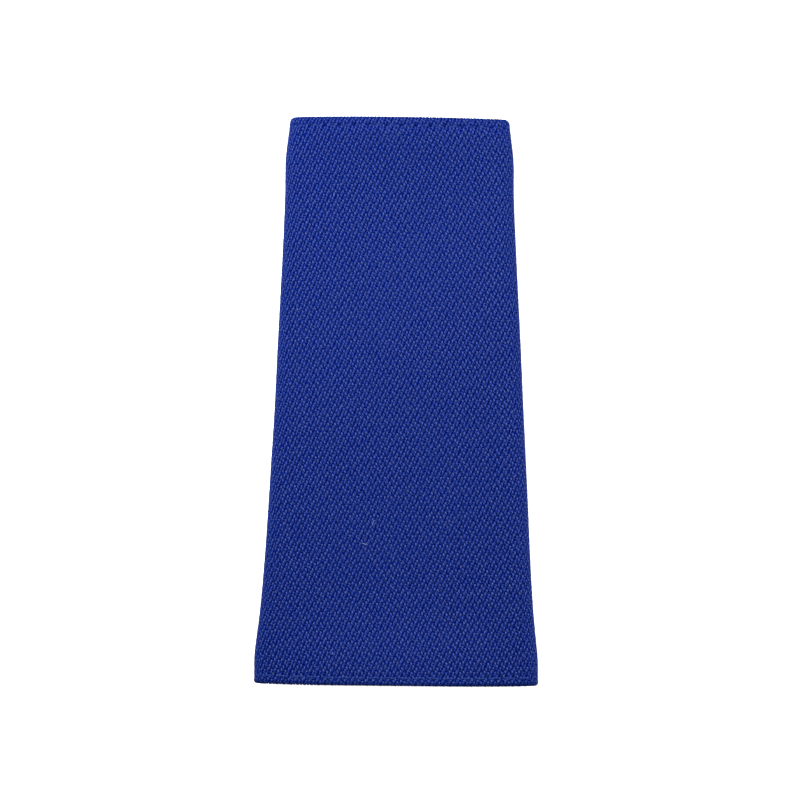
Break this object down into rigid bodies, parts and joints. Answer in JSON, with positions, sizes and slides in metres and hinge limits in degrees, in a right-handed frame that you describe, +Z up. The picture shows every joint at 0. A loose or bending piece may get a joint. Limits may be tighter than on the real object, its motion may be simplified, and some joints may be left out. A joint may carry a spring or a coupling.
{
  "type": "shoulder board, a cloth slip-on sleeve",
  "caption": "Tapered flattened cloth sleeve, open and hemmed at both ends, that slips over a uniform's shoulder strap.",
  "frame": {"origin": "centre of the sleeve's footprint on the surface that its back lies on", "axes": "+X across the sleeve, +Y along its length towards the narrow mouth, +Z up out of its front"},
  "size_m": [0.055, 0.11, 0.0098],
  "materials": {
    "sleeve_cloth": "royal-blue steep twill with a soft sheen",
    "hem_cloth": "the same royal-blue twill, turned in"
  },
  "bodies": {
    "root": {"sleeve": "sleeve_cloth", "narrow_hem": "hem_cloth", "wide_hem": "hem_cloth"}
  },
  "joints": []
}
